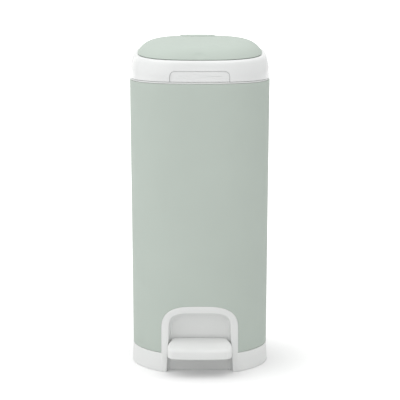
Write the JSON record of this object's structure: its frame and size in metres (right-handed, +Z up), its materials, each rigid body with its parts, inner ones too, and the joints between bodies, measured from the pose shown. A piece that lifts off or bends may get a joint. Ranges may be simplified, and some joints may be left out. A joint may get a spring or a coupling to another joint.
{
  "type": "nappy bin",
  "caption": "Tall tapered pedal bin for nappies with an arched pedal niche, tilting head, sprung inner jaws and a domed lid.",
  "frame": {"origin": "centre of the bounding box, at the level of the floor under the rubber feet", "axes": "+Z up; the pedal and the front of the bin face -Y; the lid and head hinges are at +Y; X runs left to right"},
  "size_m": [0.254, 0.2688, 0.6006],
  "materials": {
    "white": "satin white moulding",
    "sage": "satin sage green",
    "gloss_white": "glossy white moulding",
    "grey": "mid grey moulding",
    "steel": "plain steel wire and rod",
    "rubber": "black rubber"
  },
  "bodies": {
    "bin": {"base_plinth": "white", "body_shell": "sage", "rim_ring": "white", "rod_guide": "white", "pedal_axle": "steel", "head_hinge_pin": "steel", "foot_front_left": "rubber", "foot_front_right": "rubber", "foot_rear_left": "rubber", "foot_rear_right": "rubber"},
    "pedal": {"pedal": "white", "pedal_lever": "grey", "pedal_spring": "steel"},
    "rod": {"push_rod": "steel"},
    "head": {"head_collar": "gloss_white", "cassette_holder": "white", "liner_cassette": "grey", "liner_cutter": "grey", "cutter_blade": "steel", "catch_spring": "steel", "lid_hinge_pin": "steel", "jaw_pin_left": "steel", "jaw_pin_right": "steel", "jaw_spring_left": "steel", "jaw_spring_right": "steel", "deck_screw_1": "steel", "deck_screw_2": "steel", "deck_screw_3": "steel", "deck_screw_4": "steel"},
    "panel": {"release_panel": "gloss_white"},
    "jaw_left": {"jaw_left": "white"},
    "jaw_right": {"jaw_right": "white"},
    "lid": {"lid_cover": "sage", "lid_liner": "white", "lid_seal": "rubber", "lid_crank": "grey"},
    "lock": {"child_lock": "sage"}
  },
  "joints": [
    {"name": "pedal_press", "type": "hinge", "parent": "bin", "child": "pedal", "pos_m": [0, 0.0226, 0.024], "axis": [1, 0, 0], "range_deg": [0, 9.5], "stiffness_Nm_per_rad": 8, "springref_deg": -20.05},
    {"name": "rod_lift", "type": "slide", "parent": "bin", "child": "rod", "axis": [0, 0, 1], "range_m": [0, 0.014]},
    {"name": "head_tilt", "type": "hinge", "parent": "bin", "child": "head", "pos_m": [0, 0.1308, 0.5294], "axis": [-1, 0, 0], "range_deg": [0, 85]},
    {"name": "panel_push", "type": "slide", "parent": "head", "child": "panel", "axis": [0, 1, 0], "range_m": [0, 0.0032], "stiffness_N_per_m": 400, "springref_m": -0.004, "deforming": ["catch_spring"]},
    {"name": "jaw_left_open", "type": "hinge", "parent": "head", "child": "jaw_left", "pos_m": [-0.06648, -0.00734, 0.51898], "axis": [0, 0.9984, 0.0558], "range_deg": [0, 78], "stiffness_Nm_per_rad": 0.08, "springref_deg": -34.38},
    {"name": "jaw_right_open", "type": "hinge", "parent": "head", "child": "jaw_right", "pos_m": [0.06648, -0.00734, 0.51898], "axis": [0, -0.9984, -0.0558], "range_deg": [0, 78], "stiffness_Nm_per_rad": 0.08, "springref_deg": -34.38},
    {"name": "lid_open", "type": "hinge", "parent": "head", "child": "lid", "pos_m": [0, 0.11482, 0.5824], "axis": [-1, 0, 0], "range_deg": [0, 76]},
    {"name": "lock_slide", "type": "slide", "parent": "lid", "child": "lock", "axis": [1, 0, 0], "range_m": [0, 0.009]}
  ],
  "couplings": [
    {"joint": "rod_lift", "follows": "pedal_press", "m_per_rad": 0.083833},
    {"joint": "lid_open", "follows": "pedal_press", "ratio": 7.8947}
  ]
}
